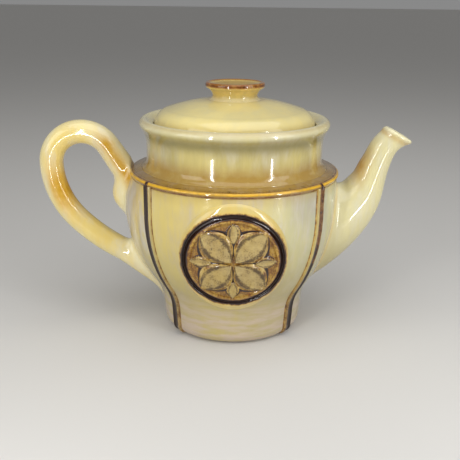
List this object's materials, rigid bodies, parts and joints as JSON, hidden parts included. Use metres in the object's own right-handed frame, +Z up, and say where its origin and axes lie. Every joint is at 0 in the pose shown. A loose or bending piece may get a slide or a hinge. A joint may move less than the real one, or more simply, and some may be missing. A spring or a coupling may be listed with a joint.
{
  "type": "teapot",
  "caption": "Glazed stoneware teapot with a flared belly, ledged shoulder, gallery rim, lift-off domed lid with dished knob, ear handle, curved spout and applied relief.",
  "frame": {"origin": "middle of the flat base, on the surface that the pot stands on", "axes": "+Z up along the pot's turning axis, +X towards the spout, -X towards the handle, -Y towards the front"},
  "size_m": [0.2359, 0.1358, 0.1576],
  "materials": {
    "belly_glaze": "glossy cream-yellow glaze",
    "shoulder_glaze": "glossy amber glaze broken to gold along the edge",
    "neck_glaze": "glossy olive-cream glaze running to amber",
    "handle_glaze": "glossy cream-yellow glaze with amber patches",
    "spout_glaze": "glossy cream-yellow glaze with amber patches",
    "relief_glaze": "glossy cream glaze with dark brown pooled lines",
    "rib_glaze": "glossy golden glaze broken to dark brown in the groove",
    "lid_glaze": "glossy cream glaze",
    "knob_glaze": "glossy tan glaze with a rust-brown rim"
  },
  "bodies": {
    "pot": {"pot_base": "belly_glaze", "pot_body": "belly_glaze", "pot_shoulder": "shoulder_glaze", "neck_collar": "neck_glaze", "handle": "handle_glaze", "spout": "spout_glaze", "strainer": "belly_glaze", "front_medallion": "relief_glaze", "back_medallion": "relief_glaze", "front_left_rib": "rib_glaze", "front_right_rib": "rib_glaze", "back_right_rib": "rib_glaze", "back_left_rib": "rib_glaze"},
    "lid": {"lid_dome": "lid_glaze", "lid_flange": "lid_glaze", "lid_knob": "knob_glaze"}
  },
  "joints": [
    {"name": "lid_lift", "type": "slide", "parent": "pot", "child": "lid", "axis": [0, 0, 1], "range_m": [0, 0.07]}
  ]
}
